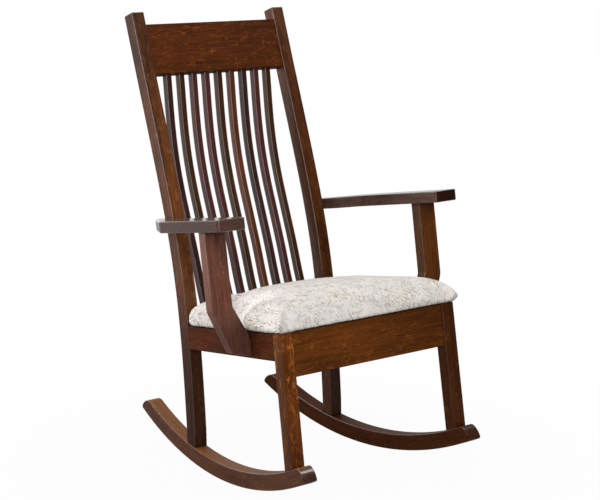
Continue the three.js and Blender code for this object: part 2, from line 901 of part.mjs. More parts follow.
const wood = { color: 0x55301a, roughness: 0.42, metalness: 0 };
const ply = { color: 0xc2a27a, roughness: 0.7, metalness: 0 };
const beech = { color: 0xb98d5e, roughness: 0.6, metalness: 0 };
const steel = { color: 0xb8bcc0, roughness: 0.35, metalness: 1 };
const cloth = { color: 0xe2dcd2, roughness: 0.9, metalness: 0 };

const chair = new THREE.Group();
const floorFrame = new THREE.Group();
const seatFrame = new THREE.Group();
seatFrame.rotation.x = -frameTilt;
seatFrame.position.set(0, -seatFrontReach, seatFrontHeight);
chair.add(floorFrame, seatFrame);

function place(name, geometry, look, parent, matrix = null) {
  const mesh = new THREE.Mesh(geometry, new THREE.MeshStandardMaterial(look));
  mesh.name = name;
  if (matrix) matrix.decompose(mesh.position, mesh.quaternion, mesh.scale);
  parent.add(mesh);
}

// The sitter's left half is made as drawn, and the right half is its mirror image.
['left', 'right'].forEach((side) => {
  const floorHalf = new THREE.Group();
  const seatHalf = new THREE.Group();
  if (side === 'right') {
    floorHalf.scale.x = -1;
    seatHalf.scale.x = -1;
  }
  floorFrame.add(floorHalf);
  seatFrame.add(seatHalf);
  place(`${side}_runner`, toGeometry(runner), wood, floorHalf);
  place(`${side}_back_post`, toGeometry(post), wood, floorHalf);
  place(`${side}_front_leg`, toGeometry(leg), wood, seatHalf);
  place(`${side}_side_rail`, toGeometry(sideRail), wood, seatHalf);
  place(`${side}_arm`, toGeometry(arm), wood, seatHalf);
  place(`${side}_arm_support`, toGeometry(support), wood, seatHalf);
  place(`${side}_front_corner_block`, toGeometry(frontBlock), beech, seatHalf);
  place(`${side}_rear_corner_block`, toGeometry(rearBlock), beech, seatHalf);
  dowelPlaces.forEach((matrix, i) => {
    place(`${side}_arm_dowel_${i + 1}`, dowel, beech, seatHalf, matrix);
  });
  supportScrewPlaces.forEach((matrix, i) => {
    place(`${side}_support_screw_${i + 1}`, screw(supportScrewLength), steel, seatHalf, matrix);
  });
  ['front', 'rear'].forEach((end, i) => {
    place(`${side}_${end}_seat_screw`, screw(seatScrewLength), steel, seatHalf, seatScrewPlaces[i]);
  });
});

place('front_seat_rail', toGeometry(frontRail), wood, seatFrame);
place('rear_seat_rail', toGeometry(rearRail), wood, seatFrame);
place('crest_rail', toGeometry(crest), wood, floorFrame);
slatPlaces.forEach((x, i) => {
  place(`back_slat_${i + 1}`, toGeometry(slat), wood, floorFrame, new THREE.Matrix4().makeTranslation(x, 0, 0));
});
place('seat_board', toGeometry(seatBoard), ply, seatFrame);
place('seat_cushion', toGeometry(cushion), cloth, seatFrame);

// The origin lies on the floor under the middle of the whole chair.
const extent = new THREE.Box3().setFromObject(chair, true);
const centre = extent.getCenter(new THREE.Vector3());
chair.position.set(-centre.x, -centre.y, -extent.min.z);

const rockingChair = new THREE.Group();
rockingChair.add(chair);

export default rockingChair;
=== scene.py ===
import bmesh
import bpy
import math
from mathutils import Matrix, Vector, noise


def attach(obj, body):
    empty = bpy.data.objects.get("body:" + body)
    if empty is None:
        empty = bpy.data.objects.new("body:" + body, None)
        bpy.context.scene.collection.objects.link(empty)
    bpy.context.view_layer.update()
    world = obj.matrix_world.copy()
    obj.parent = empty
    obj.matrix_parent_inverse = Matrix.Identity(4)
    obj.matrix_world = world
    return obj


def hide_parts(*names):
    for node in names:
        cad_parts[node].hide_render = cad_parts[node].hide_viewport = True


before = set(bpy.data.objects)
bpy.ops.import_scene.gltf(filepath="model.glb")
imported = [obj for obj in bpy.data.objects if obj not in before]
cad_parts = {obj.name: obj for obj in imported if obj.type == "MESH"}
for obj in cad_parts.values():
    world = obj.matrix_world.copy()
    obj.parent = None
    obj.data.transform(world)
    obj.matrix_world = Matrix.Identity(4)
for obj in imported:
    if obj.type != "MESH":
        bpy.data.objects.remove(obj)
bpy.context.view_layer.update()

mm = 0.001
floorY = 4.065 * mm  # the rocking centre stands over this point of the floor
tilt = math.radians(9.35)  # the seat frame leans back by this much
toeIn = 0.072  # sideways step of a side frame for each metre to the rear
halfWidth = 244 * mm  # outer face of a side frame, level with the rocking centre
seatFront, seatHeight = 296.5 * mm, 420.4 * mm
floorSpace = Matrix.Translation((0, floorY, 0))
seatSpace = floorSpace @ Matrix.Translation((0, -seatFront, seatHeight)) @ Matrix.Rotation(-tilt, 4, "X")
mirror = Matrix.Scale(-1, 4, (1, 0, 0))


def linearColour(code):
    parts = [int(code[i : i + 2], 16) / 255 for i in (1, 3, 5)]
    return tuple(c / 12.92 if c <= 0.04045 else ((c + 0.055) / 1.055) ** 2.4 for c in parts) + (1,)


# Adds a node with its settings, ramp stops and links, and gives the output to link on.
def addNode(tree, kind, inputs, out=0, stops=(), **settings):
    node = tree.nodes.new("ShaderNode" + kind)
    for key, value in settings.items():
        setattr(node, key, value)
    for key, value in inputs.items():
        if isinstance(value, bpy.types.NodeSocket):
            tree.links.new(value, node.inputs[key])
        else:
            node.inputs[key].default_value = value
    while stops and len(node.color_ramp.elements) < len(stops):
        node.color_ramp.elements.new(0.5)
    for i, (place, colour) in enumerate(stops):
        element = node.color_ramp.elements[i]
        element.position = place
        element.color = colour if isinstance(colour, tuple) else (colour, colour, colour, 1)
    return node.outputs[out] if node.outputs else node


mixing = {"data_type": "RGBA", "blend_type": "MIX"}
tinting = {"data_type": "RGBA", "blend_type": "MULTIPLY"}


def newMaterial(name):
    material = bpy.data.materials.new(name)
    material.use_nodes = True
    tree = material.node_tree
    tree.nodes.clear()
    surface = addNode(tree, "BsdfPrincipled", {})
    addNode(tree, "OutputMaterial", {"Surface": surface})
    return material, tree, surface.node


# Noise cells in a metre, for a pattern of these sizes in mm.
def cells(*sizes):
    return [1000 / size for size in sizes]


print("camera")
# a long lens from the sitter's right, a little above the arms
view = {"place": (-2.3529, -3.0777, 1.3148), "yaw": -37.660, "pitch": 11.397, "lens": 96, "sensor": 36}
camera = bpy.data.objects.new("camera", bpy.data.cameras.new("camera"))
bpy.context.collection.objects.link(camera)
camera.data.sensor_width = view["sensor"]
camera.data.lens = view["lens"]
camera.data.clip_start = 0.1
camera.data.clip_end = 60
yaw, pitch = math.radians(view["yaw"]), math.radians(view["pitch"])
back = Vector((math.sin(yaw) * math.cos(pitch), -math.cos(yaw) * math.cos(pitch), math.sin(pitch)))
viewX, viewY, viewZ = view["place"]
camera.location = (viewX, viewY + floorY, viewZ)
camera.rotation_euler = back.to_track_quat("Z", "Y").to_euler()
bpy.context.scene.camera = camera


# The figure of the oak in mm, along the board and across it.
oakFigure = {
    "streak": (111.11, 3.0303),
    "band": (333.33, 11.111),
    "passage": (166.67, 71.429),
    "pore": (12.5, 0.76923),  # real pores are finer, these are as coarse as they need to show
    "thread": (45.455, 16.129),
    "dash": (26.316, 6.6667),
    "sway": 333.33,
}


# Dark stained quarter-sawn oak under satin lacquer. What the eye gets: fine straight streaks
# along the board, soft redder and darker passages where the stain took differently, pores, and
# thin pale ray flecks that wander across the grain like loose threads. The grain runs along X of
# `turn`, or along the board's own "grain" coordinates where the mesh carries them.
# `tone` is the middle colour of the board, `figure` how much of the fleck shows, `contrast` the
# depth of the streaks, `rough` and `topRough` the lacquer on the sides and on faces that look up,
# `shine` its specular level; the tints of faces that look up and sideways are painted top light
# and painted side shade and reflection, and `along` is painted shade along the board, in metres.
def oak(name, tone, turn=None, shift=(0, 0, 0), figure=0.6, contrast=1.0, rough=0.2, topRough=0.2,
        topLightTint=1.0, shine=0.35, sideLightTint=(1, 1, 1, 1), along=((0.0, 1.0), (1.0, 1.0))):
    material, tree, shader = newMaterial(name)
    if turn is None:
        place = addNode(tree, "Attribute", {}, "Vector", attribute_name="grain")
    else:
        place = addNode(tree, "TexCoord", {}, "Object")
    laid = addNode(tree, "Mapping", {"Vector": place, "Rotation": turn or (0, 0, 0)})
    mapped = addNode(tree, "VectorMath", {0: laid, 1: shift}, operation="ADD")
    swayScale = cells(oakFigure["sway"])[0]
    sway = addNode(tree, "TexNoise", {"Vector": mapped, "Scale": swayScale, "Detail": 1}, "Color")
    swayed = addNode(tree, "VectorMath", {0: sway, 1: (0.0, 0.01, 0.01), 2: mapped}, operation="MULTIPLY_ADD")

    def stretched(lengthways, across, detail, warp=0.0):
        scaled = addNode(tree, "Mapping", {"Vector": swayed, "Scale": (lengthways, across, across)})
        return addNode(tree, "TexNoise", {
            "Vector": scaled, "Scale": 1, "Detail": detail, "Roughness": 0.55, "Distortion": warp}, "Fac")

    # streaks and broader bands set the level, and passages turn it redder or darker
    streak = stretched(*cells(*oakFigure["streak"]), 4)
    band = stretched(*cells(*oakFigure["band"]), 2)
    passage = stretched(*cells(*oakFigure["passage"]), 2)
    fine = addNode(tree, "Math", {0: streak, 1: 0.6}, operation="MULTIPLY")
    broad = addNode(tree, "Math", {0: band, 1: 0.4}, operation="MULTIPLY")
    grain = addNode(tree, "Math", {0: fine, 1: broad}, operation="ADD")
    low, high = 1 - 0.4 * contrast, 1 + 0.35 * contrast
    level = addNode(tree, "ValToRGB", {0: grain}, stops=[(0.38, low), (0.5, 1.0), (0.62, high)])
    base = addNode(tree, "Mix", {0: 1.0, 6: linearColour(tone), 7: level}, 2, **tinting)
    reddish = addNode(tree, "ValToRGB", {0: passage}, stops=[(0.45, 0.0), (0.68, 1.0)])
    warm = addNode(tree, "Mix", {0: reddish, 6: (1, 1, 1, 1), 7: (1.2, 1.06, 0.92, 1)}, 2, **mixing)
    pooled = addNode(tree, "ValToRGB", {0: passage}, stops=[(0.30, 1.0), (0.47, 0.0)])
    dark = addNode(tree, "Mix", {0: pooled, 6: warm, 7: (0.74, 0.70, 0.68, 1)}, 2, **mixing)
    stained = addNode(tree, "Mix", {0: 1.0, 6: base, 7: dark}, 2, **tinting)

    # a fleck is the contour line of a stretched noise, broken up by a second noise
    def flecks(size, width, gateLow, gateHigh, strength):
        lengthways, across = cells(*size)
        field = stretched(lengthways, across, 1.5, 0.9)
        centred = addNode(tree, "Math", {0: field, 1: 0.5}, operation="SUBTRACT")
        distance = addNode(tree, "Math", {0: centred}, operation="ABSOLUTE")
        line = addNode(tree, "ValToRGB", {0: distance}, stops=[(0.0, 1.0), (width, 0.0)])
        broken = stretched(lengthways * 0.6 + 5, across * 0.5, 1)
        gate = addNode(tree, "ValToRGB", {0: broken}, stops=[(gateLow, 0.0), (gateHigh, 1.0)])
        shown = addNode(tree, "Math", {0: line, 1: gate}, operation="MULTIPLY")
        return addNode(tree, "Math", {0: shown, 1: strength}, operation="MULTIPLY")

    thread = flecks(oakFigure["thread"], 0.028, 0.48, 0.58, figure)
    dash = flecks(oakFigure["dash"], 0.06, 0.50, 0.62, figure * 0.6)
    fleck = addNode(tree, "Math", {0: thread, 1: dash}, operation="MAXIMUM")
    pale = addNode(tree, "Mix", {0: 1.0, 6: linearColour(tone), 7: (3.3, 3.7, 3.9, 1)}, 2, **tinting)
    flecked = addNode(tree, "Mix", {0: fleck, 6: stained, 7: pale}, 2, **mixing)
    pore = stretched(*cells(*oakFigure["pore"]), 1)
    pores = addNode(tree, "ValToRGB", {0: pore}, stops=[(0.34, 1.0), (0.42, 0.0)])
    filled = addNode(tree, "Math", {0: pores, 1: 0.4}, operation="MULTIPLY")
    colour = addNode(tree, "Mix", {0: filled, 6: flecked, 7: linearColour("#1C0C05")}, 2, **mixing)

    # painted light and shade: faces that look up get a painted top light, faces that look sideways a
    # painted shade or bluish reflection, the board a painted shade along its length, and crevices and
    # joints a painted shade from ambient occlusion
    facing = addNode(tree, "NewGeometry", {}, "Normal")
    upward = addNode(tree, "VectorMath", {0: facing, 1: (0, 0, 1)}, "Value", operation="DOT_PRODUCT")
    sideward = addNode(tree, "VectorMath", {0: facing, 1: (1, 0, 0)}, "Value", operation="DOT_PRODUCT")
    flanking = addNode(tree, "Math", {0: sideward}, operation="ABSOLUTE")
    length = addNode(tree, "SeparateXYZ", {0: laid}, "X")
    creviceShade = addNode(tree, "AmbientOcclusion", {"Distance": 14 * mm}, "AO", samples=6)
    for source, stops in (
        (upward, [(0.6, 1.0), (0.9, topLightTint)]),
        (flanking, [(0.5, 1.0), (0.85, sideLightTint)]),
        (length, along),
        (creviceShade, [(0.25, 0.3), (0.75, 1.0)]),
    ):
        shade = addNode(tree, "ValToRGB", {0: source}, stops=stops)
        colour = addNode(tree, "Mix", {0: 1.0, 6: colour, 7: shade}, 2, **tinting)
    tree.links.new(colour, shader.inputs["Base Color"])

    raised = addNode(tree, "Math", {0: streak, 1: 0.5}, operation="MULTIPLY")
    height = addNode(tree, "Math", {0: raised, 1: pores}, operation="SUBTRACT")
    bump = addNode(tree, "Bump", {"Strength": 0.1, "Distance": 0.3 * mm, "Height": height})
    tree.links.new(bump, shader.inputs["Normal"])
    lacquer = addNode(tree, "ValToRGB", {0: upward}, stops=[(0.75, rough), (0.95, topRough)])
    uneven = addNode(tree, "Math", {0: streak, 1: 0.2}, operation="MULTIPLY")
    satin = addNode(tree, "Math", {0: uneven, 1: lacquer}, operation="ADD")
    tree.links.new(satin, shader.inputs["Roughness"])
    shader.inputs["IOR"].default_value = 1.45
    shader.inputs["Specular IOR Level"].default_value = shine
    return material


# Pale sanded beech for the blocks and dowels that nobody sees from the front: straight fibre
# that runs across the corner, without a shine.
def sandedBeech():
    material, tree, shader = newMaterial("sanded_beech")
    place = addNode(tree, "TexCoord", {}, "Object")
    lengthways, across = cells(125, 8.3333)
    turned = addNode(tree, "Mapping", {
        "Vector": place, "Rotation": (0, 0, math.pi / 4), "Scale": (lengthways, across, across)})
    fibre = addNode(tree, "TexNoise", {"Vector": turned, "Scale": 1, "Detail": 5}, "Fac")
    tones = [(0.35, linearColour("#B58A5C")), (0.65, linearColour("#C9A074"))]
    tree.links.new(addNode(tree, "ValToRGB", {0: fibre}, stops=tones), shader.inputs["Base Color"])
    bump = addNode(tree, "Bump", {"Strength": 0.15, "Distance": 0.5 * mm, "Height": fibre})
    tree.links.new(bump, shader.inputs["Normal"])
    shader.inputs["Roughness"].default_value = 0.7
    return material


# Black cambric stapled under the seat board and round its edges: dull, with a close weave. Where
# its edges show between the cushion and the rails, its black also stands as painted shade.
def liningAndGapShade():
    material, tree, shader = newMaterial("black_cambric")
    place = addNode(tree, "TexCoord", {}, "Object")
    weave = addNode(tree, "TexNoise", {"Vector": place, "Scale": cells(1.4286)[0], "Detail": 2}, "Fac")
    tones = [(0.35, linearColour("#1B1817")), (0.65, linearColour("#2C2826"))]
    tree.links.new(addNode(tree, "ValToRGB", {0: weave}, stops=tones), shader.inputs["Base Color"])
    bump = addNode(tree, "Bump", {"Strength": 0.3, "Distance": 0.4 * mm, "Height": weave})
    tree.links.new(bump, shader.inputs["Normal"])
    shader.inputs["Roughness"].default_value = 0.95
    return material


# Zinc-plated screw steel: pale grey, faintly mottled, half bright.
def screwSteel():
    material, tree, shader = newMaterial("zinc_screw_steel")
    place = addNode(tree, "TexCoord", {}, "Object")
    mottle = addNode(tree, "TexNoise", {"Vector": place, "Scale": cells(1.1111)[0], "Detail": 3}, "Fac")
    tones = [(0.3, linearColour("#A7AAAC")), (0.7, linearColour("#D2D5D6"))]
    tree.links.new(addNode(tree, "ValToRGB", {0: mottle}, stops=tones), shader.inputs["Base Color"])
    shader.inputs["Metallic"].default_value = 1
    shader.inputs["Roughness"].default_value = 0.35
    return material


# Cream upholstery cloth with slubs: short grey, brown and purplish dashes in three directions,
# gathered in loose drifts, over a ground that wanders between cream, beige and a cool pale grey.
def seatCloth():
    material, tree, shader = newMaterial("cream_slub_cloth")
    place = addNode(tree, "Attribute", {}, "Vector", attribute_name="weave")

    # soft patches about `size` mm across
    def patches(size, low, high, shift=0.0):
        moved = addNode(tree, "Mapping", {"Vector": place, "Location": (shift, 0, 0)})
        field = addNode(tree, "TexNoise", {"Vector": moved, "Scale": cells(size)[0], "Detail": 2}, "Fac")
        return addNode(tree, "ValToRGB", {0: field}, stops=[(low, 0.0), (high, 1.0)])

    # dashes about `long` by `wide` mm, turned by this angle from the weft
    def dashes(angle, long, wide, low, high, shift):
        turned = addNode(tree, "Mapping", {
            "Vector": place, "Location": (shift, shift, 0), "Rotation": (0, 0, math.radians(angle))})
        lengthways, across = cells(2 * long, 2 * wide)
        drawn = addNode(tree, "Mapping", {"Vector": turned, "Scale": (lengthways, across, across)})
        field = addNode(tree, "TexNoise", {
            "Vector": drawn, "Scale": 1, "Detail": 1, "Distortion": 0.3}, "Fac")
        return addNode(tree, "ValToRGB", {0: field}, stops=[(low, 0.0), (high, 1.0)])

    drift = patches(45.455, 0.36, 0.56)
    driftBetween = patches(33.333, 0.38, 0.56, 3.0)
    slubs = []
    for yarn, gathered in (
        (dashes(62, 11, 1.5, 0.58, 0.62, 0.0), drift),
        (dashes(-52, 10, 1.5, 0.59, 0.63, 2.0), driftBetween),
        (dashes(86, 11, 1.5, 0.58, 0.62, 4.0), drift),
    ):
        slubs.append(addNode(tree, "Math", {0: yarn, 1: gathered}, operation="MULTIPLY"))
    colour = linearColour("#EDE8E0")
    for layer, strength, code in (
        (patches(71.429, 0.40, 0.62), 1.0, "#E9E1D5"),
        (patches(55.556, 0.48, 0.64, 5.0), 0.5, "#D9D5D5"),
        (dashes(40, 8, 1.6, 0.56, 0.62, 6.0), 0.6, "#F3EFEA"),
        (slubs[0], 0.66, "#75655A"),
        (slubs[1], 0.56, "#776C67"),
        (slubs[2], 0.54, "#7C6F71"),
    ):
        share = addNode(tree, "Math", {0: layer, 1: strength}, operation="MULTIPLY")
        colour = addNode(tree, "Mix", {0: share, 6: colour, 7: linearColour(code)}, 2, **mixing)
    # painted shade: the cloth is darkened where it is drawn into the hollows round the supports and
    # under its border
    hollowShade = addNode(tree, "AmbientOcclusion", {"Distance": 50 * mm}, "AO", samples=8)
    shade = addNode(tree, "ValToRGB", {0: hollowShade}, stops=[(0.2, (0.42, 0.38, 0.31, 1)), (0.75, 1.0)])
    shaded = addNode(tree, "Mix", {0: 1.0, 6: colour, 7: shade}, 2, **tinting)
    tree.links.new(shaded, shader.inputs["Base Color"])

    # the weave is raised, and the slubs stand over it
    threadPitch = 1.848 * mm  # the real threads are finer, these are as coarse as they need to show
    height = addNode(tree, "Math", {0: slubs[1], 1: slubs[2]}, operation="MAXIMUM")
    height = addNode(tree, "Math", {0: slubs[0], 1: height}, operation="MAXIMUM")
    for axis in ("X", "Y"):
        threads = addNode(tree, "TexWave", {
            "Vector": place, "Scale": math.pi / (10 * threadPitch), "Distortion": 1.4, "Detail": 1,
        }, "Fac", bands_direction=axis)
        height = addNode(tree, "Math", {0: height, 1: threads}, operation="ADD")
    bump = addNode(tree, "Bump", {"Strength": 0.5, "Distance": 0.6 * mm, "Height": height})
    tree.links.new(bump, shader.inputs["Normal"])
    shader.inputs["Roughness"].default_value = 0.92
    shader.inputs["Sheen Weight"].default_value = 0.2
    shader.inputs["Sheen Roughness"].default_value = 0.5
    return material


# The rounded arrises of a board, where the lacquer is rubbed to a shine and catches the light.
def polished(material):
    arris = material.copy()
    arris.name = material.name + "_arris"
    shader = arris.node_tree.nodes["Principled BSDF"]
    shader.inputs["Coat Weight"].default_value = 1
    shader.inputs["Coat Roughness"].default_value = 0.1
    return arris


# End grain, stained darker, with a cool tint on its front faces that is painted reflection and a
# darker top that takes back the painted top light of the board's oak; here it is lacquered to a
# hard gloss.
def endGrain(material):
    end = material.copy()
    end.name = material.name.replace("_arris", "_end")
    tree = end.node_tree
    shader = tree.nodes["Principled BSDF"]
    colour = shader.inputs["Base Color"].links[0].from_socket
    facing = addNode(tree, "NewGeometry", {}, "Normal")
    upward = addNode(tree, "VectorMath", {0: facing, 1: (0, 0, 1)}, "Value", operation="DOT_PRODUCT")
    coolReflection, darkTop = (0.95, 1.15, 2.0, 1), (0.25, 0.32, 0.6, 1)
    stainAndReflection = addNode(tree, "ValToRGB", {0: upward}, stops=[(0.6, coolReflection), (0.9, darkTop)])
    endTinted = addNode(tree, "Mix", {0: 1.0, 6: colour, 7: stainAndReflection}, 2, **tinting)
    tree.links.new(endTinted, shader.inputs["Base Color"])
    shader.inputs["Coat Weight"].default_value = 0.7
    shader.inputs["Coat Roughness"].default_value = 0.13
    return end


# A curve through points, the same one that the solid follows.
def splinePoint(points, share):
    place = share * (len(points) - 1)
    i = min(int(place), len(points) - 2)
    t = place - i
    p0, p1 = points[max(i - 1, 0)], points[i]
    p2, p3 = points[i + 1], points[min(i + 2, len(points) - 1)]
    v0, v1 = (p2 - p0) * 0.5, (p3 - p1) * 0.5
    return (2 * p1 - 2 * p2 + v0 + v1) * t ** 3 + (-3 * p1 + 3 * p2 - 2 * v0 - v1) * t ** 2 + v0 * t + p1


# Points at even steps along the curve.
def resample(points, count, fineSteps=800):
    fine = [splinePoint(points, i / fineSteps) for i in range(fineSteps + 1)]
    lengths = [0]
    for a, b in zip(fine, fine[1:]):
        lengths.append(lengths[-1] + (b - a).length)
    result = []
    j = 0
    for i in range(count + 1):
        goal = lengths[-1] * i / count
        while j < fineSteps - 1 and lengths[j + 1] < goal:
            j += 1
        span = lengths[j + 1] - lengths[j]
        result.append(fine[j].lerp(fine[j + 1], (goal - lengths[j]) / span if span else 0))
    return result


# The two edges of a curved bar, seen from the side, as pairs of points.
def barEdges(points, count, deep):
    line = resample(points, count)
    pairs = []
    for i, point in enumerate(line):
        ahead = (line[min(i + 1, len(line) - 1)] - line[max(i - 1, 0)]).normalized()
        across = Vector((ahead.y, -ahead.x)) * deep / 2
        pairs.append((point - across, point + across))
    return pairs


# Skins a bar over stations, each four corners in order round the section, and rounds its
# arrises. The grain coordinates run along the bar, across it and through it.
def loft(name, stations, ease, material):
    stations = [[Vector(p) for p in station] for station in stations]
    vertices, grain, faces = [], [], []
    length = 0
    for i, station in enumerate(stations):
        if i:
            length += (sum(station, Vector()) - sum(stations[i - 1], Vector())).length / 4
        width = (station[1] - station[0]).length
        depth = (station[2] - station[1]).length
        vertices += station
        grain += [(length, 0, 0), (length, width, 0), (length, width, depth), (length, 0, depth)]
    for i in range(len(stations) - 1):
        for k in range(4):
            j = (k + 1) % 4
            faces.append((4 * i + k, 4 * i + j, 4 * i + 4 + j, 4 * i + 4 + k))
    faces.append((3, 2, 1, 0))
    faces.append(tuple(4 * (len(stations) - 1) + k for k in range(4)))
    return boardObject(name, vertices, faces, grain, ease, material)


# Saws a board to a plan outline. `lay` puts a plan point and a height into the chair's space.
def sawn(name, outline, low, high, lay, ease, material):
    count = len(outline)
    vertices = [lay(x, y, z) for z in (low, high) for x, y in outline]
    grain = [(y, x, z) for z in (low, high) for x, y in outline]
    faces = [(i, (i + 1) % count, count + (i + 1) % count, count + i) for i in range(count)]
    faces += [tuple(range(count))[::-1], tuple(range(count, 2 * count))]
    return boardObject(name, vertices, faces, grain, ease, material)


def boardObject(name, vertices, faces, grain, ease, material):
    arris = bpy.data.materials.get(material.name + "_arris") or polished(material)
    mesh = bpy.data.meshes.new(name)
    mesh.from_pydata(vertices, [], faces)
    attribute = mesh.attributes.new("grain", "FLOAT_VECTOR", "POINT")
    attribute.data.foreach_set("vector", [c for g in grain for c in g])
    mesh.update()
    solid = bmesh.new()
    solid.from_mesh(mesh)
    bmesh.ops.recalc_face_normals(solid, faces=solid.faces)
    solid.to_mesh(mesh)
    solid.free()
    mesh.polygons.foreach_set("use_smooth", [True] * len(mesh.polygons))
    mesh.materials.append(material)
    mesh.materials.append(arris)
    piece = bpy.data.objects.new(name, mesh)
    bpy.context.collection.objects.link(piece)
    rounding = piece.modifiers.new("rounded_arris", "BEVEL")
    rounding.width = ease
    rounding.segments = 3
    rounding.material = 1  # the arris
    rounding.limit_method = "ANGLE"
    rounding.angle_limit = math.radians(32)
    rounding.use_clamp_overlap = False
    rounding.harden_normals = True
    return piece


# Puts the piece on the chair in place of its solid, the right-hand one as a mirror image.
def stand(piece, node, space):
    piece.data.transform(space)
    if space.determinant() < 0:
        piece.data.flip_normals()
    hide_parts(node)
    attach(piece, "root")


def sideX(y):
    return halfWidth - toeIn * y


# The same face, at a place in the seat frame's own space.
def seatSideX(back, rise):
    y = -seatFront + back * math.cos(tilt) + rise * math.sin(tilt)
    return sideX(y)


rockRadius = 857.6 * mm
runner = {
    "depth": 39.7 * mm, "width": 39 * mm, "front": 397 * mm, "rear": 367 * mm, "frontNose": 17 * mm,
    "rearNose": 34 * mm, "tip": 5 * mm, "endGrain": 24 * mm, "ease": 1.8 * mm,
    "stations": 56, "noseSteps": 12,
}
topRadius = rockRadius - runner["depth"]


def runnerTop(y):
    return rockRadius - math.sqrt(topRadius ** 2 - y ** 2)


def arcPoint(angle, radius):
    return radius * math.sin(angle), rockRadius - radius * math.cos(angle)


# One end of the runner as pairs of sole and top points: how far in, how high. The sole turns
# round the tip in the first half of the steps, and the top rolls down over all of them.
def noseSteps(nose):
    tip, depth, count = runner["tip"], runner["depth"], runner["noseSteps"]
    quarter = math.pi / 2
    steps = []
    for k in range(1, count + 1):
        turn = quarter * (1 - k / count)
        top = (nose * (1 - math.sin(turn)), tip + (depth - tip) * math.cos(turn))
        share = 2 * k / count
        if share <= 1:
            sole = (tip * (1 - math.cos(quarter * share)), tip * (1 - math.sin(quarter * share)))
        else:
            sole = (tip + (nose - tip) * (share - 1) ** 2, 0)
        steps.append((sole, top))
    return steps


def runnerStations():
    frontAngle = math.asin(runner["front"] / rockRadius)
    total = frontAngle * rockRadius + math.asin(runner["rear"] / rockRadius) * rockRadius
    front, rear, count = runner["frontNose"], runner["rearNose"], runner["stations"]
    run = total - front - rear
    pairs = noseSteps(front)[:-1]
    pairs += [((d, 0), (d, runner["depth"])) for d in (front + run * i / count for i in range(count + 1))]
    pairs += [((total - a[0], a[1]), (total - b[0], b[1])) for a, b in noseSteps(rear)[:-1]][::-1]
    stations = []
    for sole, top in pairs:
        (yLow, zLow), (yTop, zTop) = (
            arcPoint(-frontAngle + d / rockRadius, rockRadius - h) for d, h in (sole, top))
        stations.append([
            (sideX(yLow) - runner["width"], yLow, zLow), (sideX(yLow), yLow, zLow),
            (sideX(yTop), yTop, zTop), (sideX(yTop) - runner["width"], yTop, zTop),
        ])
    return stations


# The line is height and setback, as shares of the post's own.
post = {
    "outer": 234.2 * mm, "thick": 35 * mm, "wide": 37.5 * mm, "height": 1102.3 * mm, "foot": 110.5 * mm,
    "setback": 258.7 * mm, "stations": 70, "gap": 0.3 * mm, "shortest": 3 * mm, "ease": 1.7 * mm,
    "line": [(0.018, -0.003), (0.0363, 0), (0.0907, 0.0128), (0.1814, 0.0452), (0.2722, 0.0858),
             (0.3629, 0.1411), (0.4536, 0.2196), (0.5443, 0.3235), (0.635, 0.448),
             (0.7258, 0.5837), (0.8165, 0.7228), (0.9072, 0.8611), (1, 1)],
}


# The foot is coped to the top of the runner.
def postStations():
    points = [Vector((post["foot"] + b * post["setback"], u * post["height"])) for u, b in post["line"]]
    inner, outer = post["outer"] - post["thick"], post["outer"]
    stations = []
    for edges in barEdges(points, post["stations"], post["wide"]):
        if min(e.y - runnerTop(e.x) for e in edges) < post["shortest"]:
            continue
        if not stations:
            for e in edges:
                e.y = runnerTop(e.x) + post["gap"]
        (y0, z0), (y1, z1) = edges
        stations.append([(inner, y0, z0), (outer, y0, z0), (outer, y1, z1), (inner, y1, z1)])
    return stations


# The foot stands on the rear rail and the head under the crest rail, and the line is height and
# setback between the two.
slat = {
    "wide": 16.2 * mm, "deep": 19.2 * mm, "pitch": 38.6 * mm, "stations": 60, "ease": 2.2 * mm,
    "foot": (146.82 * mm, 347.41 * mm), "head": (318.99 * mm, 950.33 * mm),
    "line": [(-0.02, -0.0285), (0, 0), (0.1326, 0.1809), (0.2617, 0.3353), (0.4272, 0.5538),
             (0.5096, 0.6624), (0.5957, 0.7601), (0.6753, 0.8341), (0.768, 0.8977),
             (0.8571, 0.9416), (0.9393, 0.974), (1, 1), (1.02, 1.0123)],
}


def slatStations():
    (footY, footZ), (headY, headZ) = slat["foot"], slat["head"]
    points = [Vector((footY + b * (headY - footY), footZ + u * (headZ - footZ))) for u, b in slat["line"]]
    w = slat["wide"] / 2
    return [[(-w, y0, z0), (w, y0, z0), (w, y1, z1), (-w, y1, z1)]
            for (y0, z0), (y1, z1) in barEdges(points, slat["stations"], slat["deep"])]


# A closed outline with its corners rounded: each corner is x, y and radius.
def rounded(corners, steps=7):
    points = []
    for i, (x, y, radius) in enumerate(corners):
        corner = Vector((x, y))
        if not radius:
            points.append(corner)
            continue
        toBefore = (Vector(corners[i - 1][:2]) - corner).normalized()
        toAfter = (Vector(corners[(i + 1) % len(corners)][:2]) - corner).normalized()
        half = toBefore.angle(toAfter) / 2
        centre = corner + (toBefore + toAfter).normalized() * radius / math.sin(half)
        start = corner + toBefore * radius / math.tan(half) - centre
        end = corner + toAfter * radius / math.tan(half) - centre
        turn = math.atan2(start.x * end.y - start.y * end.x, start.dot(end))
        for k in range(steps + 1):
            cos, sin = math.cos(turn * k / steps), math.sin(turn * k / steps)
            points.append(centre + Vector((start.x * cos - start.y * sin, start.x * sin + start.y * cos)))
    return [tuple(p) for p in points]


arm = {
    "under": 241.5 * mm, "thick": 27.8 * mm, "wide": 74.6 * mm, "over": 104.3 * mm, "front": 56.5 * mm,
    "outerBend": 330.6 * mm, "innerBend": 321.5 * mm, "tailX": 234.5 * mm, "tailInner": 403.2 * mm,
    "tailEnd": 472 * mm, "tail": 29.5 * mm, "corner": 9 * mm, "bend": 45 * mm, "ease": 2.6 * mm,
}


def armOuterX(back):
    return seatSideX(back, arm["under"]) + arm["over"]


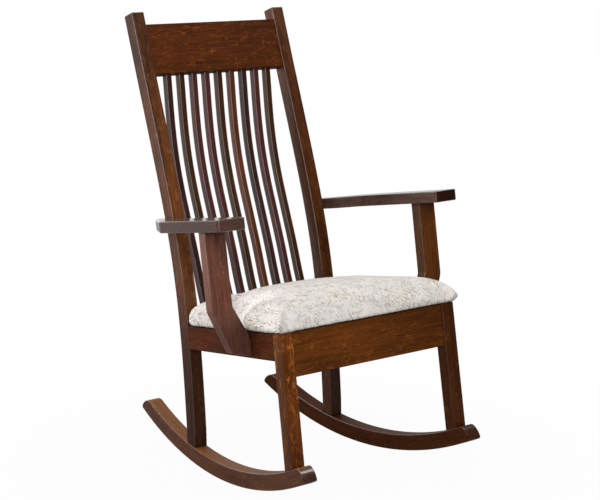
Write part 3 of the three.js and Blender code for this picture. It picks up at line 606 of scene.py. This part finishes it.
armOutline = rounded([
    (armOuterX(arm["front"]) - arm["wide"], arm["front"] - arm["wide"] * toeIn, arm["corner"]),
    (armOuterX(arm["front"]), arm["front"], arm["corner"]),
    (armOuterX(arm["outerBend"]), arm["outerBend"], arm["bend"]),
    (arm["tailX"] + arm["tail"], arm["tailEnd"], arm["corner"]),
    (arm["tailX"], arm["tailEnd"], arm["corner"] / 2),
    (arm["tailX"], arm["tailInner"], arm["bend"]),
    (armOuterX(arm["innerBend"]) - arm["wide"], arm["innerBend"], arm["bend"]),
])

# the support is drawn looking along the chair: out from the side rail, and up
support = {
    "thick": 28 * mm, "front": 123.6 * mm, "inner": 40 * mm, "wide": 54.5 * mm, "outerRise": 57.5 * mm,
    "innerRise": 65 * mm, "heelRise": -14 * mm, "heelDrop": 57 * mm, "toeDrop": 41 * mm, "toe": 54 * mm,
    "bend": 25 * mm, "top": 241.2 * mm, "gap": 0.3 * mm, "ease": 1.6 * mm,
}
supportOutline = rounded([
    (support["gap"], -support["heelDrop"], 0),
    (support["toe"], -support["toeDrop"], 0),
    (support["inner"] + support["wide"], support["outerRise"], support["bend"]),
    (support["inner"] + support["wide"], support["top"], 0),
    (support["inner"], support["top"], 0),
    (support["inner"], support["innerRise"], support["bend"]),
    (support["gap"], support["heelRise"], support["bend"]),
])
supportSpace = (Matrix.Translation((seatSideX(support["front"], 0), support["front"], 0))
                @ Matrix.Rotation(math.atan(toeIn), 4, "Z"))


print("runners, posts, arms and supports")
sides = {"left": Matrix.Identity(4), "right": mirror}
boardLook = {
    "runner": {"shift": (3.1, 0.2, 0), "figure": 0.3, "contrast": 0.55, "rough": 0.14, "topRough": 0.42},
    "post": {"shift": (7.3, 0.4, 0)},
    "arm": {"shift": (11.7, 0.7, 0), "figure": 0.25, "topRough": 0.06},
    # the support's ramp along its rise is painted shade, darker towards its foot on the rail
    "support": {"shift": (14.2, 1.1, 0), "figure": 0.3, "contrast": 0.6,
                "along": ((0.0, 0.62), (0.06, 0.95), (0.14, 1.1), (0.24, 1.0))},
}
# the stain took differently from board to board; the sitter's right is the nearer side. The
# nearer boards' paler, greyer tones are partly painted reflection and the far side's darker ones
# partly painted shade, and the tints of tops, of sides and along the boards here are painted light
# and shade
sideLook = {
    "left": {
        "runner": {"tone": "#3F200C", "topLightTint": (1.4, 1.0, 0.3, 1), "shine": 0.12},
        "post": {"tone": "#4B270D", "along": ((0.0, 0.7), (0.3, 0.8), (0.4, 1.0), (1.0, 1.0))},
        "arm": {"tone": "#2D1509", "contrast": 0.8, "sideLightTint": (2.3, 3.9, 7.0, 1)},
        "support": {"tone": "#5F3411", "sideLightTint": (0.5, 0.62, 1.1, 1)},
    },
    "right": {
        "runner": {"tone": "#4B2C19", "topLightTint": (2.75, 2.85, 1.9, 1), "shine": 0.3},
        "post": {"tone": "#5C361C", "shine": 0.22, "sideLightTint": (0.70, 0.68, 0.78, 1),
                 "along": ((0.24, 0.4), (0.36, 1.0), (0.46, 1.28), (0.6, 1.12), (0.72, 0.98), (0.86, 1.0),
                           (1.0, 0.62))},
        "arm": {"tone": "#4D3B35", "contrast": 0.4, "sideLightTint": (0.62, 0.46, 0.42, 1)},
        "support": {"tone": "#674236"},
    },
}


# The oak of one board, which on the right is cut a metre further along.
def boardOak(side, board):
    look = {**boardLook[board], **sideLook[side][board]}
    along, across, through = look.pop("shift")
    if side == "right":
        along += 1
    return oak(side + "_" + board + "_oak", shift=(along, across, through), **look)


for side, flip in sides.items():
    piece = loft(side + "_runner_board", runnerStations(), runner["ease"], boardOak(side, "runner"))
    piece.data.materials.append(endGrain(piece.data.materials[1]))
    for face in piece.data.polygons:
        if face.center.y < runner["endGrain"] - runner["front"] and abs(face.normal.x) < 0.5:
            face.material_index = 2
    stand(piece, side + "_runner", floorSpace @ flip)
    piece = loft(side + "_post_board", postStations(), post["ease"], boardOak(side, "post"))
    stand(piece, side + "_back_post", floorSpace @ flip)
    piece = sawn(side + "_arm_board", armOutline, arm["under"], arm["under"] + arm["thick"],
                 lambda x, y, z: (x, y, z), arm["ease"], boardOak(side, "arm"))
    stand(piece, side + "_arm", seatSpace @ flip)
    piece = sawn(side + "_support_board", supportOutline, 0, support["thick"],
                 lambda x, y, z: (x, z, y), support["ease"], boardOak(side, "support"))
    stand(piece, side + "_arm_support", seatSpace @ flip @ supportSpace)

print("slats")
slatTones = {"dark": "#36201D", "olive": "#3F2614", "plum": "#462624", "red": "#552E1B"}
slatShades = ["dark", "olive", "plum", "plum", "olive", "red", "dark", "plum", "olive"]
slatOaks = {}
for k, (shade, tone) in enumerate(slatTones.items()):
    slatOaks[shade] = oak(shade + "_slat_oak", tone, shift=(17.0 + 1.3 * k, 0.9, 0), figure=0.2)
for k, shade in enumerate(slatShades):
    piece = loft("slat_board_%d" % (k + 1), slatStations(), slat["ease"], slatOaks[shade])
    across = (k - (len(slatShades) - 1) / 2) * slat["pitch"]
    stand(piece, "back_slat_%d" % (k + 1), floorSpace @ Matrix.Translation((across, 0, 0)))

print("straight boards and fittings")
# these keep their solids; the grain follows each board's length
legTurn, sideTurn, frontTurn = (tilt, math.pi / 2, 0), (tilt, 0, math.pi / 2), (tilt, 0, 0)
crestTurn = (math.radians(19), 0, 0)
legLook = {"figure": 0.45, "contrast": 0.8, "shine": 0.2, "rough": 0.25, "topRough": 0.5}
railLook = {"figure": 0.45, "contrast": 0.8, "shine": 0.1, "rough": 0.5, "topRough": 0.5}
# the near right leg is paler than the far left one partly as painted light; the side tints, and the ramps
# that darken the near leg towards the floor and lighten the front rail and the crest towards the near side,
# are painted light and shade
straightBoards = {
    "left_front_leg": {**legLook, "turn": legTurn, "tone": "#46230A", "sideLightTint": (0.7, 0.7, 0.6, 1)},
    "right_front_leg": {**legLook, "turn": legTurn, "tone": "#6C3914", "figure": 1.1,
                        "sideLightTint": (0.60, 0.68, 0.62, 1), "along": ((0.06, 0.56), (0.11, 0.68), (0.19, 1.06))},
    "left_side_rail": {**railLook, "turn": sideTurn, "tone": "#48260F"},
    "right_side_rail": {**railLook, "turn": sideTurn, "tone": "#431F0A"},
    "front_seat_rail": {**railLook, "turn": frontTurn, "tone": "#5B310E", "figure": 0.4,
                        "along": ((0.0, 1.2), (0.08, 0.9), (0.2, 0.8))},
    "rear_seat_rail": {**railLook, "turn": frontTurn, "tone": "#4E2A15"},
    "crest_rail": {**railLook, "turn": crestTurn, "tone": "#4A2308", "figure": 0.75,
                   "along": ((0.0, 1.12), (0.1, 0.97))},
}


def dress(node, material):
    for slot in bpy.data.objects[node].material_slots:
        slot.material = material


for i, (node, look) in enumerate(straightBoards.items()):
    dress(node, oak(node + "_oak", shift=(0.37 * i, 0.61 * i, 0.23 * i), **look))

beech, liningAndShade, steel = sandedBeech(), liningAndGapShade(), screwSteel()
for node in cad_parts:
    if "screw" in node:
        dress(node, steel)
    elif "block" in node or "dowel" in node:
        dress(node, beech)
    elif node == "seat_board":
        dress(node, liningAndShade)


print("cushion")
cushion = {
    "crown": 76 * mm, "least": 9 * mm, "front": -16 * mm, "rear": 437 * mm, "tuck": 9 * mm,
    "side": 11 * mm, "sideRear": 12 * mm, "sideTurns": (110 * mm, 200 * mm), "columns": 90, "rows": 80,
    # mm in from the edge, and the share of the crown there
    "frontSwell": [(0, 0.14), (2.4, 0.27), (8, 0.40), (19, 0.54), (35, 0.67), (59, 0.80), (96, 0.92),
                   (150, 0.99), (230, 1)],
    "sideSwell": [(0, 0.14), (2, 0.36), (5, 0.48), (11, 0.60), (20, 0.69), (42, 0.78), (75, 0.87),
                  (125, 0.96), (200, 1)],
    "rearSwell": [(0, 0.14), (2.4, 0.30), (8, 0.48), (20, 0.67), (32, 0.79), (60, 0.86), (110, 0.93),
                  (170, 0.985), (230, 1)],
    # the valley behind a support: x, back and how deep, shallower on the far side
    "dip": [(262 * mm, 148 * mm, 44 * mm), (216 * mm, 240 * mm, 38 * mm), (165 * mm, 312 * mm, 26 * mm),
            (100 * mm, 362 * mm, 5 * mm)],
    "dipWide": 25 * mm, "farDip": 0.3,
    "rise": 9 * mm, "risePlace": (-250 * mm, 90 * mm), "riseWide": (45 * mm, 35 * mm),
    # room cut for the supports, the posts and the seat board: x, front, rear
    "supportRoom": (252 * mm, 117 * mm, 162 * mm), "postRoom": (193 * mm, 398 * mm, 460 * mm),
    "boardRoom": (228 * mm, 8 * mm, 395 * mm), "boardTop": 12.8 * mm,
    "voxel": 6 * mm,
    # the lobe in front of a support grows from one x to the other, and backwards to the notch
    "lobe": 22 * mm, "lobeHeight": 78 * mm, "lobeSide": (150 * mm, 250 * mm), "lobeFull": 110 * mm,
    "lobeEnd": 125 * mm,
    # folds per metre of the lower edge, which are deepest at the front corners
    "folds": (95, 210), "gather": 0.9 * mm, "cornerGather": 1.6 * mm, "gatherHeight": 9 * mm,
    "gatherWide": 13 * mm, "corner": (272 * mm, -8 * mm), "cornerWide": 40 * mm,
    # the cloth bends down over the border between these x, and in front of this line
    "borderSide": (190 * mm, 260 * mm), "borderFront": 60 * mm,
}
cover = {
    "pressure": 4, "quality": 4, "frames": 20, "cap": 9 * mm,
    "rim": 5 * mm, "boardRim": 17 * mm, "board": (232 * mm, 4 * mm, 400 * mm),
}


def clamped(share):
    return min(1, max(0, share))


def tableValue(table, place):
    for (x0, y0), (x1, y1) in zip(table, table[1:]):
        if place < x1 * mm:
            return y0 + (y1 - y0) * max(0, place / mm - x0) / (x1 - x0)
    return table[-1][1]


def cushionSide(back):
    start, end = cushion["sideTurns"]
    share = clamped((back - start) / (end - start))
    return seatSideX(back, 0) + cushion["side"] + (cushion["sideRear"] - cushion["side"]) * share


# How high the cover stands over the seat board, lower where it is drawn down round a support.
def cushionTop(x, back):
    side = max(cushionSide(back) - abs(x), 0.1 * mm)
    front, rear = back - cushion["front"], cushion["rear"] - back
    end = max(min(front, rear), 0.1 * mm)
    bow = 1.5  # 1 would cut the corners straight, 2 rounds them
    inset = side * end / (side ** bow + end ** bow) ** (1 / bow)
    endShare = side ** 2 / (side ** 2 + end ** 2)
    endSwell = tableValue(cushion["frontSwell" if front < rear else "rearSwell"], inset)
    share = tableValue(cushion["sideSwell"], inset) * (1 - endShare) + endSwell * endShare
    dip = 0
    for (x0, y0, d0), (x1, y1, d1) in zip(cushion["dip"], cushion["dip"][1:]):
        run = Vector((x1 - x0, y1 - y0))
        t = clamped(Vector((abs(x) - x0, back - y0)).dot(run) / run.length_squared)
        off = math.hypot(abs(x) - x0 - t * run.x, back - y0 - t * run.y)
        dip = max(dip, (d0 + (d1 - d0) * t) * math.exp(-(off / cushion["dipWide"]) ** 2))
    if x > 0:
        dip *= cushion["farDip"]
    (riseX, riseBack), (wideX, wideBack) = cushion["risePlace"], cushion["riseWide"]
    rise = cushion["rise"] * math.exp(-((x - riseX) / wideX) ** 2 - ((back - riseBack) / wideBack) ** 2)
    return max(cushion["least"], share * cushion["crown"] - dip + rise)


# Steps from 0 to 1 that crowd towards both ends.
def spread(count):
    return [0.5 - 0.5 * math.cos(math.pi * i / count) for i in range(count + 1)]


def cushionBlank():
    wide, deep = spread(cushion["columns"]), spread(cushion["rows"])
    tuck = cushion["tuck"]
    vertices, faces = [], []
    for low in (False, True):
        for v in deep:
            back = cushion["front"] + v * (cushion["rear"] - cushion["front"])
            for u in wide:
                x = (2 * u - 1) * cushionSide(back)
                if low:
                    vertices.append((x * (1 - tuck / cushionSide(back)), back + tuck * (1 - v), 0.5 * mm))
                else:
                    vertices.append((x, back, cushionTop(x, back)))
    columns, rows = len(wide), len(deep)
    under = columns * rows
    for r in range(rows - 1):
        for c in range(columns - 1):
            a = r * columns + c
            faces.append((a, a + 1, a + columns + 1, a + columns))
            faces.append((under + a + columns, under + a + columns + 1, under + a + 1, under + a))
    rim = list(range(columns))
    rim += [r * columns + columns - 1 for r in range(1, rows)]
    rim += [(rows - 1) * columns + c for c in range(columns - 2, -1, -1)]
    rim += [r * columns for r in range(rows - 2, 0, -1)]
    for a, b in zip(rim, rim[1:] + rim[:1]):
        faces.append((b, a, under + a, under + b))
    mesh = bpy.data.meshes.new("cushion_blank")
    mesh.from_pydata(vertices, [], faces)
    return mesh


# The shapes cut out of the blank: room for both supports, both posts and the seat board.
def cushionCutter():
    solid = bmesh.new()

    def block(low, high):
        corners = [solid.verts.new((x, y, z)) for z in (low[2], high[2]) for x, y in (
            (low[0], low[1]), (high[0], low[1]), (high[0], high[1]), (low[0], high[1]))]
        for face in ((3, 2, 1, 0), (4, 5, 6, 7), (0, 1, 5, 4), (1, 2, 6, 5), (2, 3, 7, 6), (3, 0, 4, 7)):
            solid.faces.new([corners[i] for i in face])

    outside, below, above = 0.4, -0.02, 0.2  # well clear of the blank
    for side in (-1, 1):
        for x, front, rear in (cushion["supportRoom"], cushion["postRoom"]):
            near, far = sorted((side * x, side * outside))
            block((near, front, below), (far, rear, above))
    x, front, rear = cushion["boardRoom"]
    block((-x, front, below), (x, rear, cushion["boardTop"]))
    mesh = bpy.data.meshes.new("cushion_cutter")
    solid.to_mesh(mesh)
    solid.free()
    return mesh


# Keeps what the modifiers make of the piece.
def settled(piece):
    graph = bpy.context.evaluated_depsgraph_get()
    mesh = bpy.data.meshes.new_from_object(piece.evaluated_get(graph))
    piece.modifiers.clear()
    piece.data = mesh


# The cover is fixed along its lower edge and where it lies on the board.
def isHeld(p):
    x, front, rear = cover["board"]
    overBoard = abs(p.x) < x and front < p.y < rear
    return p.z < cover["rim"] or (p.z < cover["boardRim"] and overBoard)


pad = bpy.data.objects.new("cushion_pad", cushionBlank())
cutter = bpy.data.objects.new("cushion_cutter", cushionCutter())
for piece in (pad, cutter):
    bpy.context.collection.objects.link(piece)
carve = pad.modifiers.new("room", "BOOLEAN")
carve.operation, carve.object, carve.solver = "DIFFERENCE", cutter, "EXACT"
voxels = pad.modifiers.new("voxels", "REMESH")
voxels.mode, voxels.voxel_size = "VOXEL", cushion["voxel"]
relax = pad.modifiers.new("relax", "SMOOTH")
relax.factor, relax.iterations = 0.5, 4
settled(pad)
bpy.data.objects.remove(cutter)

# the wadding presses the cover out, which swells it no further than the cap
start = [v.co.copy() for v in pad.data.vertices]
held = pad.vertex_groups.new(name="held")
held.add([i for i, p in enumerate(start) if isHeld(p)], 1, "REPLACE")
cloth = pad.modifiers.new("cover", "CLOTH")
cloth.settings.use_pressure = True
cloth.settings.uniform_pressure_force = cover["pressure"]
cloth.settings.vertex_group_mass = "held"
cloth.settings.effector_weights.gravity = 0
cloth.settings.quality = cover["quality"]
for k in range(1, cover["frames"] + 1):
    bpy.context.scene.frame_set(k)
settled(pad)
bpy.context.scene.frame_set(1)
moves = []
for v, p in zip(pad.data.vertices, start):
    move = v.co - p
    moves.append(move.length)
    if move.length > cover["cap"]:
        v.co = p + move * (cover["cap"] / move.length)
most, mean = max(moves) / mm, sum(moves) / len(moves) / mm
print("cover swells", round(most, 1), "mm at most,", round(mean, 1), "on average")

calm = pad.modifiers.new("calm", "SMOOTH")
calm.factor, calm.iterations = 0.5, 3
finer = pad.modifiers.new("finer", "SUBSURF")
finer.levels = finer.render_levels = 1
settled(pad)

# the lobes in front of the supports bulge, and the cover is gathered along its lower edge
outward = [v.normal.copy() for v in pad.data.vertices]
lobeInner, lobeOuter = cushion["lobeSide"]
broadFolds, fineFolds = cushion["folds"]
cornerX, cornerBack = cushion["corner"]
for v, normal in zip(pad.data.vertices, outward):
    x, back, z = v.co
    side = 1 if x > 0 else -1
    outside = clamped((abs(x) - lobeInner) / (lobeOuter - lobeInner))
    reach = clamped(back / cushion["lobeFull"]) ** 2 if back < cushion["lobeEnd"] else 0
    bulge = math.sin(math.pi * clamped(z / cushion["lobeHeight"]))
    v.co.x += side * cushion["lobe"] * outside * reach * bulge
    along = x if back < 8 * mm else back
    fold = noise.noise(Vector((along * broadFolds, side * 3.0, 1.7)))
    fold += 0.5 * noise.noise(Vector((along * fineFolds, side * 5.0, 0.4)))
    low = math.exp(-((z - cushion["gatherHeight"]) / cushion["gatherWide"]) ** 2)
    offCorner = math.hypot(abs(x) - cornerX, back - cornerBack)
    corner = math.exp(-(offCorner / cushion["cornerWide"]) ** 2)
    v.co -= normal * (cushion["gather"] + cushion["cornerGather"] * corner) * low * fold

# where each point lies on the flat cloth, which bends down over the border
weave = pad.data.attributes.new("weave", "FLOAT_VECTOR", "POINT")
borderInner, borderOuter = cushion["borderSide"]
borderFront = cushion["borderFront"]
for point, v in zip(weave.data, pad.data.vertices):
    x, back, z = v.co
    drop = cushion["crown"] - z
    sidewards = clamped((abs(x) - borderInner) / (borderOuter - borderInner))
    frontward = clamped((borderFront - back) / borderFront) * (1 - sidewards)
    point.vector = (x + math.copysign(drop * sidewards, x), back - drop * frontward, 0)

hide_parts("seat_cushion")
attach(pad, "root")
pad.data.transform(seatSpace)
pad.data.materials.clear()
pad.data.materials.append(seatCloth())
pad.data.polygons.foreach_set("use_smooth", [True] * len(pad.data.polygons))


print("stage")
darkSide = (0.61, -0.79, 0.0)  # out in front, on the sitter's left
floorMesh = bpy.data.meshes.new("floor")
edge = 14
floorMesh.from_pydata(
    [(-edge, -edge, 0), (edge, -edge, 0), (edge, edge, 0), (-edge, edge, 0)], [], [(0, 1, 2, 3)])
floor = bpy.data.objects.new("floor", floorMesh)
bpy.context.collection.objects.link(floor)
# Matt white floor that fades into the white backdrop a little way out and keeps a soft shadow
# near the runners. The lacquer mirrors it white too, except close by and on the dark side.
floorMaterial, tree, shader = newMaterial("pale_floor")
shader.inputs["Base Color"].default_value = (0.3, 0.3, 0.3, 1)
shader.inputs["Roughness"].default_value = 0.9
shader.inputs["Specular IOR Level"].default_value = 0
place = addNode(tree, "NewGeometry", {}, "Position")
far = addNode(tree, "VectorMath", {0: place}, "Value", operation="LENGTH")
fade = addNode(tree, "MapRange", {
    "Value": far, "From Min": 0.35, "From Max": 1.1, "To Min": 0.97, "To Max": 1.0,
}, interpolation_type="SMOOTHSTEP")
front = addNode(tree, "VectorMath", {0: place, 1: darkSide}, "Value", operation="DOT_PRODUCT")
behind = addNode(tree, "ValToRGB", {0: front}, stops=[(0.1, 1.0), (0.7, 0.0)])
farShare = addNode(tree, "Math", {0: far, 1: 0.2}, operation="MULTIPLY")
away = addNode(tree, "ValToRGB", {0: farShare}, stops=[(0.2, 0.0), (0.7, 1.0)])
aside = addNode(tree, "Math", {0: behind, 1: away}, operation="MULTIPLY")
rays = addNode(tree, "LightPath", {}).node.outputs
mirrored = addNode(tree, "Math", {0: rays["Is Glossy Ray"], 1: aside}, operation="MULTIPLY")
seen = addNode(tree, "Math", {0: rays["Is Camera Ray"], 1: rays["Is Transmission Ray"]}, operation="MAXIMUM")
looked = addNode(tree, "Math", {0: seen, 1: mirrored}, operation="MAXIMUM")
white = addNode(tree, "Math", {0: looked, 1: fade}, operation="MULTIPLY")
glow = addNode(tree, "Emission", {"Strength": 1.0})
blend = addNode(tree, "MixShader", {0: white, 1: shader.outputs[0], 2: glow})
tree.links.new(blend, tree.nodes["Material Output"].inputs["Surface"])
floorMesh.materials.append(floorMaterial)

# The studio: white behind the chair, so the lacquer mirrors white on its flanks and tops, and
# dark on the dark side, so the front faces keep their colour.
world = bpy.data.worlds.new("studio")
bpy.context.scene.world = world
world.use_nodes = True
tree = world.node_tree
tree.nodes.clear()
direction = addNode(tree, "TexCoord", {}, "Generated")
ahead = addNode(tree, "VectorMath", {0: direction, 1: darkSide}, "Value", operation="DOT_PRODUCT")
halved = addNode(tree, "Math", {0: ahead, 1: 0.5}, operation="MULTIPLY")
turned = addNode(tree, "Math", {0: halved, 1: 0.5}, operation="ADD")
room = addNode(tree, "ValToRGB", {0: turned}, stops=[(0.15, 0.75), (0.55, 0.6), (0.85, 0.06)])
clear = addNode(tree, "ValToRGB", {0: turned}, stops=[(0.3, 1.0), (0.75, 0.0)])
dimmed = addNode(tree, "Math", {0: clear, 1: 0.75}, operation="MULTIPLY")
rays = addNode(tree, "LightPath", {}).node.outputs
mirrored = addNode(tree, "Math", {0: rays["Is Glossy Ray"], 1: dimmed}, operation="MULTIPLY")
seen = addNode(tree, "Math", {0: rays["Is Camera Ray"], 1: rays["Is Transmission Ray"]}, operation="MAXIMUM")
white = addNode(tree, "Math", {0: seen, 1: mirrored}, operation="MAXIMUM")
surround = addNode(tree, "Background", {"Color": room, "Strength": 0.72})
backdrop = addNode(tree, "Background", {"Color": (1, 1, 1, 1), "Strength": 1})
both = addNode(tree, "MixShader", {0: white, 1: surround, 2: backdrop})
addNode(tree, "OutputWorld", {"Surface": both})

lamps = {  # where it stands, what it looks at, its size in metres and its watts
    "key": ((-2.5, -3.0, 2.2), (0, 0, 0.6), (1.5, 2.6), 106),
    "top": ((0.0, -0.2, 3.4), (0, 0, 0.4), (2.0, 2.0), 30),
    "side": ((-2.9, 1.7, 1.5), (0, 0, 0.4), (1.6, 1.6), 56),
    "strip": ((2.1, -0.9, 3.0), (0, 0, 0.2), (1.5, 0.4), 17),
}
for name, (place, target, size, power) in lamps.items():
    lamp = bpy.data.lights.new(name, "AREA")
    lamp.shape = "RECTANGLE"
    lamp.size, lamp.size_y = size
    lamp.energy = power
    holder = bpy.data.objects.new(name, lamp)
    bpy.context.collection.objects.link(holder)
    holder.location = place
    holder.rotation_euler = (Vector(place) - Vector(target)).to_track_quat("Z", "Y").to_euler()

bpy.context.scene.view_settings.view_transform = "Standard"
